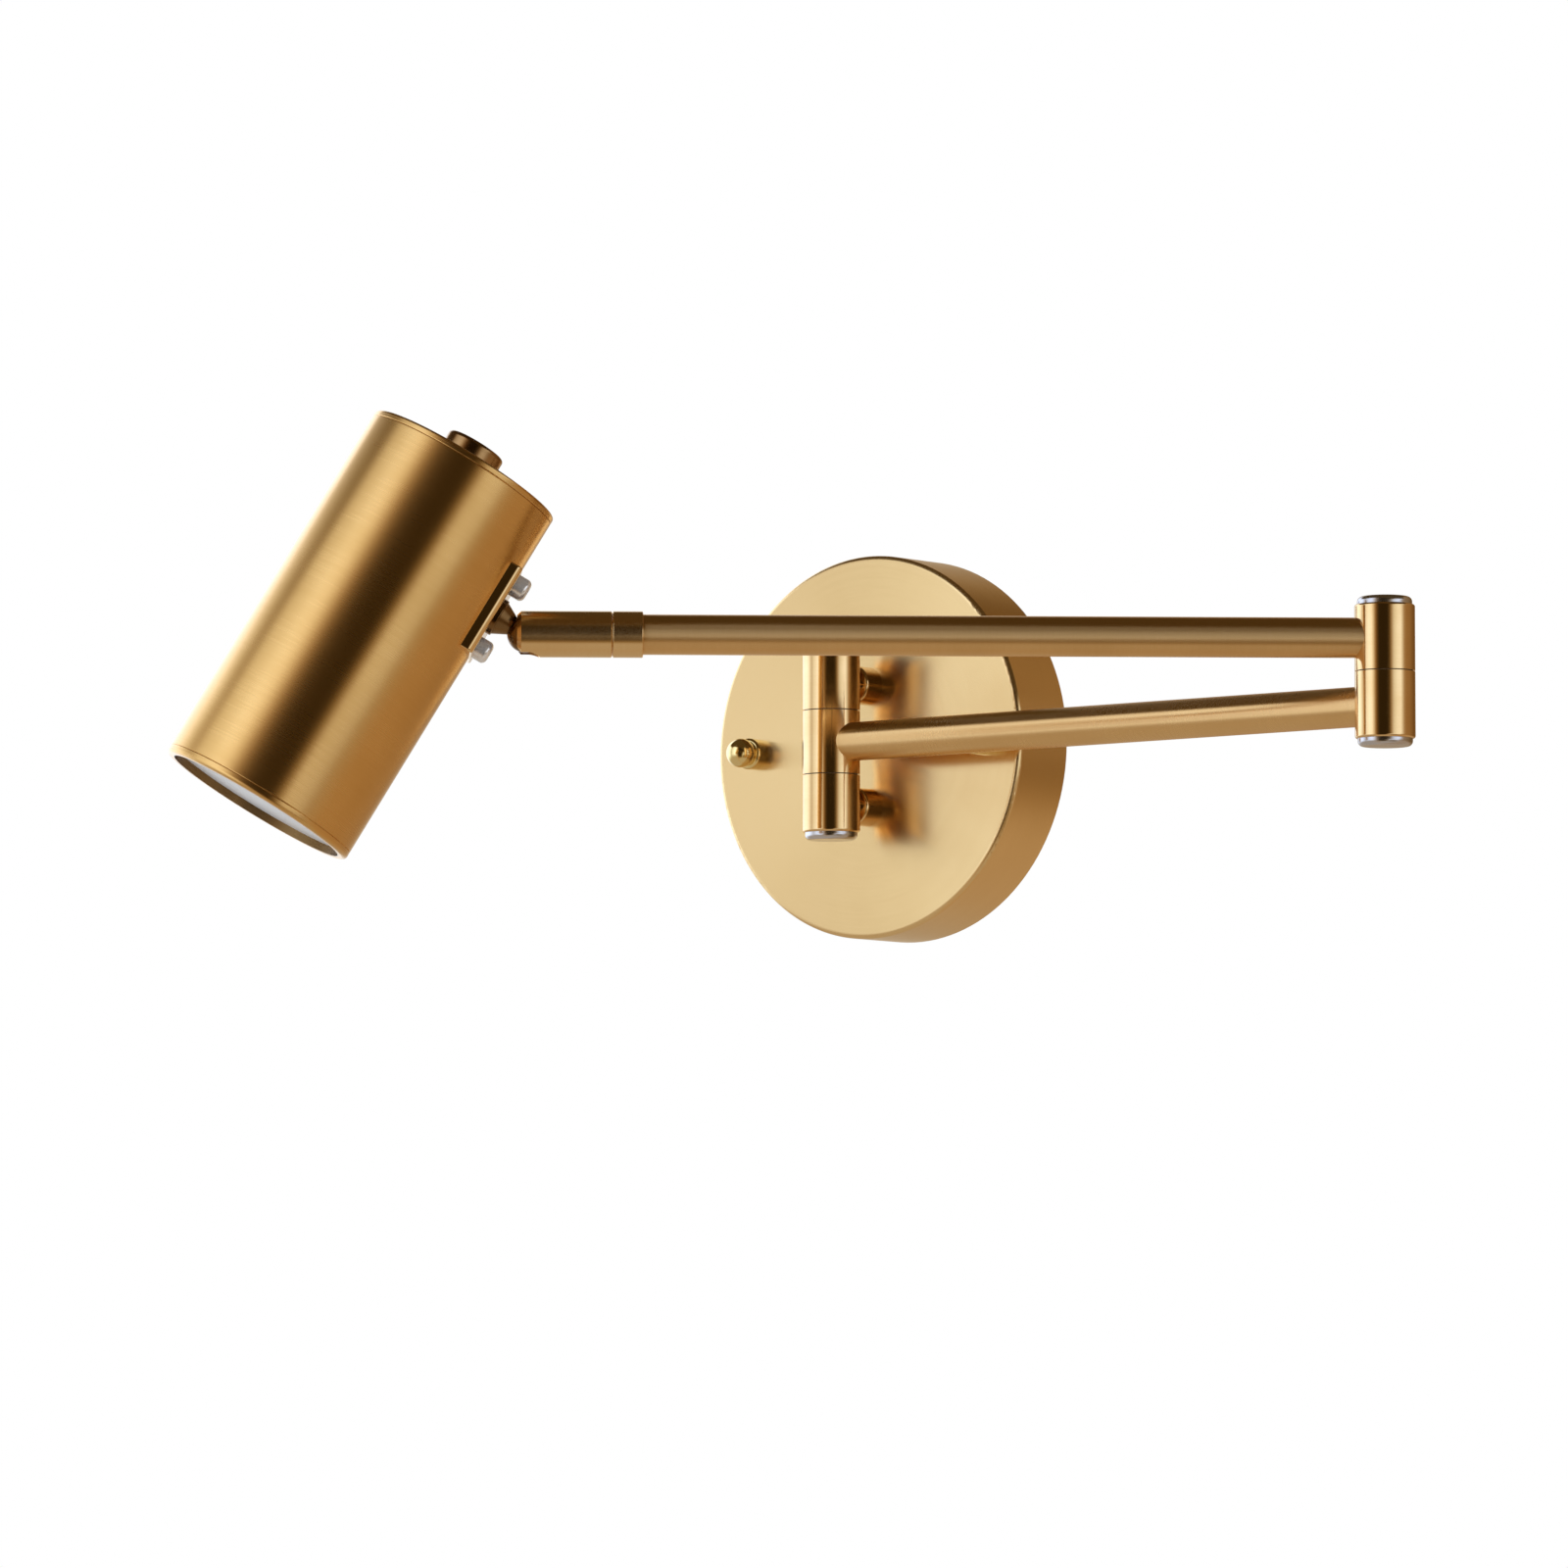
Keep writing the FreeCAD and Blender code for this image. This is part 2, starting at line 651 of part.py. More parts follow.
def fastening_holes(body, radius):
    """Cut the stem hole and the two screw holes on the saddle's centre line."""
    body = body.cut(rod(SPIGOT_R + RUNNING, 30, (0, 0, 0), (-1, 0, 0)))
    for height in (-SCREW_PITCH / 2, SCREW_PITCH / 2):
        body = body.cut(rod(radius, 30, (0, 0, height), (-1, 0, 0)))
    return body


def head_disc(low, high, rounds):
    """A disc of the head's outer radius on its axis, with edges rounded as (height, size) pairs."""
    disc = rod(HEAD_R, high - low, (0, 0, low), UP)
    for height, size in rounds:
        disc = round_rims(disc, [height], HEAD_R, size)
    return moved(disc, (HEAD_AXIS, 0, 0))


def head_shell():
    low = HEAD_BOTTOM + BEZEL_HEIGHT
    high = HEAD_TOP - TOP_CAP_THICK
    tube = head_disc(low, high, [(low, SEAM), (high, SEAM)]).cut(head_rod(SHELL_BORE, low, high))
    return place_head(fastening_holes(tube, SMALL_SCREW_R))


def saddle_plate():
    """A block with a flat face to the stem and a hollow back that fits the shell."""
    face = -BALL_TO_SADDLE
    low = (face - SADDLE_DEPTH, -SADDLE_WIDTH / 2, -SADDLE_LENGTH / 2)
    plate = block((SADDLE_DEPTH, SADDLE_WIDTH, SADDLE_LENGTH), low)
    for span, size in (("ZLength", SADDLE_ROUND), ("YLength", 0.7)):
        rims = []
        for edge in plate.Edges:
            if abs(edge.BoundBox.XMin - face) < 0.01 and getattr(edge.BoundBox, span) > 20:
                rims.append(edge)
        plate = plate.makeFillet(size, rims)
    plate = plate.cut(head_rod(HEAD_R, -30, 30))
    return place_head(fastening_holes(plate, SMALL_SCREW_R))


def inner_clamp_plate():
    thick = 2.4
    face = HEAD_AXIS + SHELL_BORE
    plate = block((thick, 10.0, 27.0), (face - thick, -5.0, -13.5)).common(head_rod(SHELL_BORE, -30, 30))
    return place_head(fastening_holes(plate, SMALL_SCREW_R))


def saddle_screws():
    screw = pan_screw(3.5, 4.2, SMALL_SCREW_R, 6.4)
    solids = []
    for height in (-SCREW_PITCH / 2, SCREW_PITCH / 2):
        solids.append(place_head(aimed(screw, (-BALL_TO_SADDLE, 0, height), (1, 0, 0))))
    return group(solids)


SWITCH_NECK_R = 5.95
SWITCH_SHOULDER = 26.0
CAP_SPIGOT = 4.0


def head_top_cap():
    low = HEAD_TOP - TOP_CAP_THICK
    disc = head_disc(low, HEAD_TOP, [(low, SEAM), (HEAD_TOP, 0.8)])
    disc = join(disc, head_ring(SHELL_BORE, SHELL_BORE - 2, low - CAP_SPIGOT, low))
    return place_head(disc.cut(head_rod(SWITCH_NECK_R, low - 1, HEAD_TOP + 1)))


def switch_body():
    plunger_bore = 2.1
    low = SWITCH_SHOULDER - 16
    body = join(head_rod(8.0, low, HEAD_TOP - TOP_CAP_THICK), head_rod(SWITCH_NECK_R, low, HEAD_TOP + 2.8))
    return place_head(body.cut(head_rod(plunger_bore, SWITCH_SHOULDER - 10, HEAD_TOP + 5)))


def switch_nut():
    return place_head(head_ring(7.6, SWITCH_NECK_R, HEAD_TOP, HEAD_TOP + 1.8))


def switch_button():
    top = HEAD_TOP + BUTTON_TOP
    skirt = HEAD_TOP + BUTTON_TRAVEL + 0.2
    knob = rod(BUTTON_R, top - skirt, (0, 0, skirt), UP)
    knob = round_rims(knob, [top], BUTTON_R, 1.2)
    knob = round_rims(knob, [skirt], BUTTON_R, 0.3)
    knob = moved(knob, (HEAD_AXIS, 0, 0))
    knob = knob.cut(head_rod(8.0, skirt - 1, top - 1.7))
    return place_head(join(knob, head_rod(2.0, SWITCH_SHOULDER - 6, top - 1)))


BEZEL_TOP = HEAD_BOTTOM + 7.0
DIFFUSER_LOW = HEAD_BOTTOM + LIP_DEPTH
DIFFUSER_R = 28.6
BOARD_LOW = HEAD_BOTTOM + 12.4
BOARD_THICK = 1.6
BOARD_SCREW_CIRCLE = 17.0
EMITTER_R = 7.5
EMITTER_THICK = 0.9
SINK_BASE = 4.0
SINK_HEIGHT = 30.0


def front_bezel():
    high = HEAD_BOTTOM + BEZEL_HEIGHT
    rim = head_disc(HEAD_BOTTOM, high, [(HEAD_BOTTOM, BEZEL_ROUND), (high, SEAM)])
    body = join(rim, head_rod(SHELL_BORE, HEAD_BOTTOM + 1, BEZEL_TOP))
    body = body.cut(head_rod(DIFFUSER_R, DIFFUSER_LOW, BEZEL_TOP + 1))
    return place_head(body.cut(head_rod(LIP_R, HEAD_BOTTOM - 1, BEZEL_TOP)))


def diffuser():
    return place_head(head_rod(DIFFUSER_R, DIFFUSER_LOW, DIFFUSER_LOW + DIFFUSER_THICK))


def reflector():
    low = DIFFUSER_LOW + DIFFUSER_THICK
    wall = 0.9
    high = BOARD_LOW - EMITTER_THICK
    throat = EMITTER_R + 2.0
    cone = lathe([(DIFFUSER_R - wall, low), (DIFFUSER_R, low), (throat + wall, high), (throat, high)])
    return place_head(moved(cone, (HEAD_AXIS, 0, 0)))


LEAD_OFFSET = 6.0


def board_screw_places():
    """Centres of the board's three screws, on a circle about the head axis."""
    places = []
    for angle in (0, 120, 240):
        x = HEAD_AXIS + BOARD_SCREW_CIRCLE * math.cos(math.radians(angle))
        places.append((x, BOARD_SCREW_CIRCLE * math.sin(math.radians(angle))))
    return places


def led_emitter():
    return place_head(head_rod(EMITTER_R, BOARD_LOW - EMITTER_THICK, BOARD_LOW))


def led_board():
    board = head_rod(22.0, BOARD_LOW, BOARD_LOW + BOARD_THICK)
    for x, y in board_screw_places():
        board = board.cut(rod(SMALL_SCREW_R, BOARD_THICK, (x, y, BOARD_LOW), UP))
    return place_head(board)


def board_screws():
    screw = pan_screw(2.6, 1.6, SMALL_SCREW_R, 5.0)
    return group([place_head(aimed(screw, (x, y, BOARD_LOW), DOWN)) for x, y in board_screw_places()])


def heat_sink():
    low = BOARD_LOW + BOARD_THICK
    body = head_rod(SHELL_BORE, low, low + SINK_BASE)
    core = head_rod(10.0, low, low + SINK_HEIGHT)
    fin_thick = 1.4
    fin_reach = SHELL_BORE - 0.6
    fins = []
    for index in range(FINS):
        fin = block((fin_reach, fin_thick, SINK_HEIGHT), (0, -fin_thick / 2, low))
        fin.rotate(V(0, 0, 0), V(0, 0, 1), 360.0 * index / FINS)
        fins.append(moved(fin, (HEAD_AXIS, 0, 0)))
    body = join(body, core, *fins)
    body = body.cut(rod(1.8, SINK_HEIGHT, (HEAD_AXIS - LEAD_OFFSET, 0, low), UP))
    for x, y in board_screw_places():
        body = body.cut(rod(SMALL_SCREW_R, SINK_BASE, (x, y, low), UP))
    return place_head(body)


def switch_lead():
    points = [(-SPIGOT_END, 0, 0), (HEAD_AXIS, 0, 0), (HEAD_AXIS, 0, SWITCH_SHOULDER - 16)]
    return place_head(lead(points, HEAD_LEAD_R, LEAD_BEND))


def board_lead():
    low = BOARD_LOW + BOARD_THICK
    high = SWITCH_SHOULDER - 16
    return place_head(rod(HEAD_LEAD_R, high - low, (HEAD_AXIS - LEAD_OFFSET, 0, low), UP))


# ---------------------------------------------------------------- files

NODES = {
    "canopy": canopy,
    "wall_bar": wall_bar,
    "cable_grommet": cable_grommet,
    "canopy_studs": canopy_studs,
    "stud_nuts": stud_nuts,
    "canopy_cap_nuts": canopy_cap_nuts,
    "terminal_block": terminal_block,
    "terminal_screw": terminal_screw,
    "earth_screw": earth_screw,
    "led_driver": led_driver,
    "driver_pad": driver_pad,
    "supply_leads": supply_leads,
    "standoffs": standoffs,
    "standoff_washers": standoff_washers,
    "standoff_nuts": standoff_nuts,
    "post_upper_knuckle": lambda: end_knuckle(1),
    "post_lower_knuckle": lambda: end_knuckle(-1),
    "post_pivot_tube": post_pivot_tube,
    "post_washers": post_washers,
    "post_end_caps": post_end_caps,
    "canopy_lead": canopy_lead,
    "post_middle_knuckle": middle_knuckle,
    "lower_arm_tube": lower_arm_tube,
    "elbow_lower_knuckle": elbow_lower_knuckle,
    "elbow_pivot_tube": elbow_pivot_tube,
    "elbow_washer": elbow_washer,
    "elbow_spring_washer": elbow_spring_washer,
    "elbow_pivot_nut": elbow_pivot_nut,
    "elbow_bottom_cap": elbow_bottom_cap,
    "lower_arm_lead": lower_arm_lead,
    "elbow_upper_knuckle": elbow_upper_knuckle,
    "elbow_top_cap": elbow_top_cap,
    "upper_arm_tube": upper_arm_tube,
    "arm_collar": arm_collar,
    "swivel_nipple": swivel_nipple,
    "upper_arm_lead": upper_arm_lead,
    "swivel_socket": swivel_socket,
    "socket_plug": socket_plug,
    "ball_disc_springs": ball_disc_springs,
    "ball_seat": ball_seat,
    "ball_stem": ball_stem,
    "stem_spring_washer": stem_spring_washer,
    "stem_nut": stem_nut,
    "stem_lead": stem_lead,
    "head_shell": head_shell,
    "saddle_plate": saddle_plate,
    "inner_clamp_plate": inner_clamp_plate,
    "saddle_screws": saddle_screws,
    "head_top_cap": head_top_cap,
    "switch_body": switch_body,
    "switch_nut": switch_nut,
    "switch_button": switch_button,
    "front_bezel": front_bezel,
    "diffuser": diffuser,
    "reflector": reflector,
    "led_emitter": led_emitter,
    "led_board": led_board,
    "board_screws": board_screws,
    "heat_sink": heat_sink,
    "head_leads": lambda: group([switch_lead(), board_lead()]),
}

os.makedirs("parts", exist_ok=True)
for name, make in NODES.items():
    shape = make()
    shape.exportStep("parts/" + name + ".step")
    print(name, "solids", len(shape.Solids), "valid", shape.isValid(), "mm3", round(shape.Volume, 1))
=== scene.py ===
import json
import math

import bmesh
import bpy
from mathutils import Matrix, Vector


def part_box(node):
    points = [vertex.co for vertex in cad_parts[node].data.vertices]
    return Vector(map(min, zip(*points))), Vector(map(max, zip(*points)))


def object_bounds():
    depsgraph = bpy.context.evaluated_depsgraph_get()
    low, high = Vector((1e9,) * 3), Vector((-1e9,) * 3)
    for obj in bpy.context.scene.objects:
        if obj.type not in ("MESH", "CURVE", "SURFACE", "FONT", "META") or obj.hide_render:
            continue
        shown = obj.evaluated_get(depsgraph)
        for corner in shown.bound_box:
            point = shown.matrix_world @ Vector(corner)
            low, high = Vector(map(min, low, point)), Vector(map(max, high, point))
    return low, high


# Looks of a brass swing-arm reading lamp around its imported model. Metres; the wall is y = 0,
# the room is towards -Y and +Z is up.

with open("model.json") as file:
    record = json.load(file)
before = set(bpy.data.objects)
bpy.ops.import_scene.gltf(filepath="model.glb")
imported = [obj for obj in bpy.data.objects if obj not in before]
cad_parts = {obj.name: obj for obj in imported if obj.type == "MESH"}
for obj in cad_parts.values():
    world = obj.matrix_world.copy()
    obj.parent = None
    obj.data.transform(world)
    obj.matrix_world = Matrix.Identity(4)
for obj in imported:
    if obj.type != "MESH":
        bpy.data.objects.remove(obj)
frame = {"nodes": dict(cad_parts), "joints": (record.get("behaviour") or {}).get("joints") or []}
cad_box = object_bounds()


# ---------------------------------------------------------------- places taken from the frame

JOINTS = {joint["name"]: joint for joint in frame["joints"]}


def middle(node):
    """Centre of a node's box."""
    low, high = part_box(node)
    return (low + high) / 2


def place(origin, axis):
    """A local frame whose Z is the axis that a piece is turned about."""
    return Matrix.LocRotScale(Vector(origin), Vector(axis).to_track_quat("Z", "Y"), None)


POST = Vector(JOINTS["arm_swing"]["pos_m"])
ELBOW = Vector(JOINTS["elbow"]["pos_m"])
BALL = Vector(JOINTS["socket_roll"]["pos_m"])
ARM_WAY = Vector(JOINTS["socket_roll"]["axis"])
STEM_WAY = Vector(JOINTS["head_spin"]["axis"])
HEAD_UP = -Vector(JOINTS["button_press"]["axis"])

PLACES = {
    "canopy": place((0, 0, 0), (0, -1, 0)),
    "post": place(POST, (0, 0, 1)),
    "elbow": place(ELBOW, (0, 0, 1)),
    "lower_arm": place(middle("lower_arm_tube"), (1, 0, 0)),
    "upper_arm": place(BALL, ARM_WAY),
    "stem": place(BALL, STEM_WAY),
    "head": place(middle("diffuser"), HEAD_UP),
}

# The nodes at each place. Most are turned about its axis; the others only lie there.
NODES_AT = {
    "canopy": [
        "canopy", "wall_bar", "cable_grommet", "canopy_studs", "stud_nuts", "canopy_cap_nuts",
        "terminal_block", "terminal_screw", "earth_screw", "led_driver", "driver_pad",
        "supply_leads", "standoffs", "standoff_washers", "standoff_nuts", "canopy_lead",
    ],
    "post": [
        "post_upper_knuckle", "post_lower_knuckle", "post_middle_knuckle", "post_pivot_tube",
        "post_washers", "post_end_caps",
    ],
    "elbow": [
        "elbow_lower_knuckle", "elbow_upper_knuckle", "elbow_pivot_tube", "elbow_washer",
        "elbow_spring_washer", "elbow_pivot_nut", "elbow_bottom_cap", "elbow_top_cap",
    ],
    "lower_arm": ["lower_arm_tube", "lower_arm_lead"],
    "upper_arm": [
        "upper_arm_tube", "arm_collar", "swivel_nipple", "upper_arm_lead", "swivel_socket",
        "socket_plug", "ball_disc_springs", "ball_seat",
    ],
    "stem": [
        "ball_stem", "stem_spring_washer", "stem_nut", "stem_lead", "saddle_plate",
        "inner_clamp_plate", "saddle_screws",
    ],
    "head": [
        "head_shell", "head_top_cap", "switch_body", "switch_nut", "switch_button", "front_bezel",
        "diffuser", "reflector", "led_emitter", "led_board", "board_screws", "heat_sink",
        "head_leads",
    ],
}


# ---------------------------------------------------------------- shader building

class Graph:
    """Adds nodes to the node tree of one material or world."""

    def __init__(self, owner):
        owner.use_nodes = True
        self.tree = owner.node_tree
        self.tree.nodes.clear()

    def add(self, kind, sockets=None, **settings):
        """A new shader node; a value for a socket is an output to link or a plain value."""
        node = self.tree.nodes.new("ShaderNode" + kind)
        for key, value in settings.items():
            setattr(node, key, value)
        for key, value in (sockets or {}).items():
            if isinstance(value, bpy.types.NodeSocket):
                self.tree.links.new(value, node.inputs[key])
            else:
                node.inputs[key].default_value = value
        return node

    def math(self, operation, first, second=0.0):
        return self.add("Math", {0: first, 1: second}, operation=operation).outputs[0]

    def sum_of(self, *terms):
        """Sum of two values, each times its share."""
        return self.math("ADD", *(self.math("MULTIPLY", value, share) for value, share in terms))

    def vector(self, operation, first, second=(0, 0, 0)):
        return self.add("VectorMath", {0: first, 1: second}, operation=operation).outputs["Vector"]

    def fit(self, value, low, high, new_low=0.0, new_high=1.0, kind="LINEAR"):
        """Map value from low..high to new_low..new_high, clamped."""
        sockets = {"Value": value}
        sockets.update({"From Min": low, "From Max": high, "To Min": new_low, "To Max": new_high})
        return self.add("MapRange", sockets, interpolation_type=kind).outputs["Result"]

    def fade(self, value, low, high, new_low=0.0, new_high=1.0):
        """The same with soft ends."""
        return self.fit(value, low, high, new_low, new_high, kind="SMOOTHSTEP")

    def noise(self, vector, scale, detail):
        sockets = {"Vector": vector, "Scale": scale, "Detail": detail}
        return self.add("TexNoise", sockets).outputs["Fac"]

    def blend(self, factor, first, second):
        """Mix of two colours."""
        node = self.add("Mix", {0: factor}, data_type="RGBA")
        for index, value in ((6, first), (7, second)):
            if isinstance(value, bpy.types.NodeSocket):
                self.tree.links.new(value, node.inputs[index])
            else:
                node.inputs[index].default_value = (*value, 1)
        return node.outputs[2]

    def ramp(self, value, stops):
        """Colour ramp over 0..1 from (position, colour) stops."""
        node = self.add("ValToRGB", {0: value})
        elements = node.color_ramp.elements
        while len(elements) < len(stops):
            elements.new(1.0)
        for element, (position, colour) in zip(elements, stops):
            element.position = position
            element.color = (*colour, 1)
        return node.outputs["Color"]

    def relief(self, height, strength, depth):
        """Surface direction over a height of 0..1 that is depth metres deep."""
        sockets = {"Strength": strength, "Distance": depth, "Height": height}
        return self.add("Bump", sockets).outputs["Normal"]

    def surface(self, sockets):
        """Principled surface on the material output."""
        shader = self.add("BsdfPrincipled", sockets)
        self.add("OutputMaterial", {"Surface": shader.outputs[0]})


def object_point(g):
    return g.add("TexCoord").outputs["Object"]


def local_point(g, where):
    """The surface point in a place's own frame, in metres."""
    sockets = {
        "Vector": object_point(g),
        "Location": where.translation,
        "Rotation": where.to_euler(),
    }
    return g.add("Mapping", sockets, vector_type="TEXTURE").outputs["Vector"]


def from_axis(g, point):
    """The point's offset from the Z axis, and the length of that offset."""
    flat = g.vector("MULTIPLY", point, (1, 1, 0))
    return flat, g.add("VectorMath", {0: flat}, operation="LENGTH").outputs["Value"]


def ring_tangent(g, where):
    """The direction round the place's axis, for anisotropic gloss."""
    axis = where.to_3x3() @ Vector((0, 0, 1))
    offset = g.vector("SUBTRACT", object_point(g), where.translation)
    around = g.vector("CROSS_PRODUCT", axis, offset)
    turn = g.add("VectorTransform", {"Vector": around}, vector_type="VECTOR")
    turn.convert_from = "OBJECT"
    turn.convert_to = "WORLD"
    return turn.outputs["Vector"]


def turned_lines(g, point, spread, fineness):
    """Noise drawn out round the Z axis: brushing lines on walls, rims and faces alike."""
    flat, radius = from_axis(g, point)
    around = g.vector("MULTIPLY", g.vector("NORMALIZE", flat), (spread, spread, 0))
    height = g.add("SeparateXYZ", {0: point}).outputs["Z"]
    along = g.math("MULTIPLY", g.math("ADD", radius, height), fineness)
    step = g.add("CombineXYZ", {"Z": along}).outputs[0]
    return g.noise(g.vector("ADD", around, step), scale=1.0, detail=3.0)


# ---------------------------------------------------------------- metals

# Turns the gloss so that it spreads across the brushing lines.
QUARTER_TURN = 0.25
# Shares of the fine and the broad lines in a brushed metal's grain.
FINE_SHARE = 0.55
BROAD_SHARE = 0.45
# How much the roughness of a brushed, a polished and a moulded surface swings with its tone.
BRUSHED_SWING = 0.02
POLISHED_SWING = (-0.02, 0.03)
MOULDED_SWING = 0.06
# Hairline scratches: noise cells per metre in a place's own frame, longest along its axis.
SCRATCH_CELLS = (1500.0, 900.0, 60.0)
SCRATCH_ROUGHNESS = 0.05
# Painted shade in a recess within a piece: its brown colour, and the width in metres over which
# that starts.
RECESS_PAINTED_SHADE = (0.29, 0.175, 0.07)
PAINTED_SHADE_EDGE = 0.0003
# Zinc plate and its shade.
ZINC = ((0.66, 0.67, 0.68), (0.52, 0.54, 0.56))


def brushed_metal(name, where, colour, shade, roughness, anisotropy, relief, painted_shade_radius=None):
    """Satin metal, brushed round its axis, with cloudy lacquer tones; painted shade in brown
    inside a radius.
    """
    material = bpy.data.materials.new(name)
    g = Graph(material)
    point = local_point(g, where)
    fine = turned_lines(g, point, spread=2.2, fineness=5200.0)
    broad = turned_lines(g, point, spread=1.1, fineness=900.0)
    grain = g.sum_of((fine, FINE_SHARE), (broad, BROAD_SHARE))
    cloud = g.noise(point, scale=42.0, detail=3.0)
    tone = g.fit(g.math("ADD", grain, cloud), low=0.7, high=1.3)
    base = g.blend(tone, colour, shade)
    # Painted shade: inside the radius the recess is coloured brown, standing in for the shade that
    # falls there.
    if painted_shade_radius:
        _, radius = from_axis(g, point)
        clear_of_painted_shade = g.fit(radius, painted_shade_radius, painted_shade_radius + PAINTED_SHADE_EDGE)
        base = g.blend(clear_of_painted_shade, RECESS_PAINTED_SHADE, base)
    g.surface({
        "Base Color": base,
        "Metallic": 1.0,
        "Roughness": g.fit(tone, 0.0, 1.0, roughness - BRUSHED_SWING, roughness + BRUSHED_SWING),
        "Anisotropic": anisotropy,
        "Anisotropic Rotation": QUARTER_TURN,
        "Tangent": ring_tangent(g, where),
        "Normal": g.relief(broad, relief, depth=0.00002),
    })
    return material


def polished_metal(name, where, colour, shade, roughness):
    """Bright metal with faint turning lines, handling smudges and a few hairline scratches."""
    material = bpy.data.materials.new(name)
    g = Graph(material)
    point = local_point(g, where)
    lines = turned_lines(g, point, spread=1.6, fineness=7000.0)
    smudge = g.noise(point, scale=120.0, detail=4.0)
    cells = g.vector("MULTIPLY", point, SCRATCH_CELLS)
    scratch = g.fit(g.noise(cells, scale=1.0, detail=1.0), low=0.66, high=0.74)
    tone = g.fit(g.math("ADD", smudge, g.math("MULTIPLY", lines, 0.4)), low=0.5, high=0.9)
    rough = g.fit(tone, 0.0, 1.0, *(roughness + swing for swing in POLISHED_SWING))
    g.surface({
        "Base Color": g.blend(tone, colour, shade),
        "Metallic": 1.0,
        "Roughness": g.math("ADD", rough, g.math("MULTIPLY", scratch, SCRATCH_ROUGHNESS)),
        "Normal": g.relief(lines, strength=0.04, depth=0.00001),
    })
    return material


def plated_steel(name, where):
    """Zinc plate: soft crystalline patches on dull steel."""
    material = bpy.data.materials.new(name)
    g = Graph(material)
    point = local_point(g, where)
    patches = g.add("TexVoronoi", {"Vector": point, "Scale": 420.0}).outputs["Color"]
    patch = g.add("SeparateXYZ", {0: patches}).outputs["X"]
    cloud = g.noise(point, scale=160.0, detail=3.0)
    tone = g.sum_of((patch, 0.35), (cloud, 0.65))
    g.surface({
        "Base Color": g.blend(tone, *ZINC),
        "Metallic": 1.0,
        "Roughness": g.fit(tone, 0.0, 1.0, 0.27, 0.42),
    })
    return material


# ---------------------------------------------------------------- castings, plastics and the rest

FOAM_GREY = ((0.06, 0.06, 0.065), (0.16, 0.16, 0.17))
PHOSPHOR_YELLOW = ((0.92, 0.72, 0.12), (0.82, 0.58, 0.08))


def moulded(name, where, colour, shade, roughness, grain_scale, relief, metallic=0.0):
    """Moulded or cast surface: cloudy tone and a fine grain in gloss and relief."""
    material = bpy.data.materials.new(name)
    g = Graph(material)
    point = local_point(g, where)
    cloud = g.noise(point, scale=60.0, detail=3.0)
    grain = g.noise(point, grain_scale, detail=4.0)
    tone = g.fit(g.math("ADD", cloud, g.math("MULTIPLY", grain, 0.3)), low=0.45, high=0.85)
    g.surface({
        "Base Color": g.blend(tone, colour, shade),
        "Metallic": metallic,
        "Roughness": g.fit(grain, 0.3, 0.7, roughness - MOULDED_SWING, roughness + MOULDED_SWING),
        "Normal": g.relief(grain, relief, depth=0.00005),
    })
    return material


def foam(name, where):
    """Closed-cell foam: small round pores."""
    material = bpy.data.materials.new(name)
    g = Graph(material)
    cells = g.add("TexVoronoi", {"Vector": local_point(g, where), "Scale": 1100.0})
    height = g.fade(cells.outputs["Distance"], low=0.0, high=0.5)
    g.surface({
        "Base Color": g.blend(height, *FOAM_GREY),
        "Roughness": 0.92,
        "Normal": g.relief(height, strength=0.6, depth=0.0002),
    })
    return material


def phosphor(name, where):
    """LED chip: yellow phosphor over a grid of faint dies."""
    material = bpy.data.materials.new(name)
    g = Graph(material)
    sockets = {"Vector": local_point(g, where), "Scale": 900.0, "Randomness": 0.15}
    dies = g.add("TexVoronoi", sockets)
    spot = g.fade(dies.outputs["Distance"], low=0.1, high=0.45)
    g.surface({"Base Color": g.blend(spot, *PHOSPHOR_YELLOW), "Roughness": 0.35})
    return material


# ---------------------------------------------------------------- finishes of the nodes

# Each is a colour and its shade, and a surface's tone runs between them.
BRASS = ((0.82, 0.52, 0.205), (0.77, 0.475, 0.17))
ARM_BRASS = ((0.87, 0.585, 0.28), (0.83, 0.55, 0.25))
FACE_BRASS = ((0.90, 0.66, 0.345), (0.865, 0.625, 0.315))
BRIGHT_BRASS = ((0.86, 0.62, 0.33), (0.82, 0.565, 0.28))
# Painted shade: brass darkened to stand in for the dark reflections on the polished switch knob.
DARK_PAINTED_SHADE_BRASS = ((0.42, 0.25, 0.11), (0.30, 0.17, 0.07))
# Painted shade: brass darkened to brown to stand in for the dark that the ball stem's neck shows
# between plate and socket.
BROWN_PAINTED_SHADE_BRASS = ((0.26, 0.15, 0.06), (0.18, 0.10, 0.04))
YELLOW_BRASS = ((0.93, 0.76, 0.38), (0.88, 0.70, 0.33))
BLUISH_STEEL = ((0.66, 0.65, 0.70), (0.58, 0.575, 0.63))
WHITE_STEEL = ((0.97, 0.97, 0.98), (0.86, 0.86, 0.88))
ALUMINIUM = ((0.74, 0.75, 0.76), (0.66, 0.67, 0.69))
BROWN_NYLON = ((0.20, 0.12, 0.05), (0.15, 0.09, 0.04))
PALE_NYLON = ((0.80, 0.79, 0.75), (0.72, 0.71, 0.66))
BLACK_RUBBER = ((0.025, 0.025, 0.026), (0.05, 0.05, 0.05))
BLACK_PLASTIC = ((0.03, 0.03, 0.032), (0.06, 0.06, 0.06))
WHITE_PLASTIC = ((0.82, 0.82, 0.80), (0.76, 0.76, 0.74))
WHITE_FLEX = ((0.74, 0.73, 0.70), (0.66, 0.65, 0.62))
OPAL = ((0.86, 0.86, 0.875), (0.82, 0.82, 0.84))
WHITE_PAINT = ((0.88, 0.88, 0.87), (0.83, 0.83, 0.82))
WHITE_MASK = ((0.84, 0.85, 0.84), (0.76, 0.78, 0.77))

# Radius of the front bezel's lip, inside which its recess is painted brown as shade.
LIP_RADIUS = 0.0281
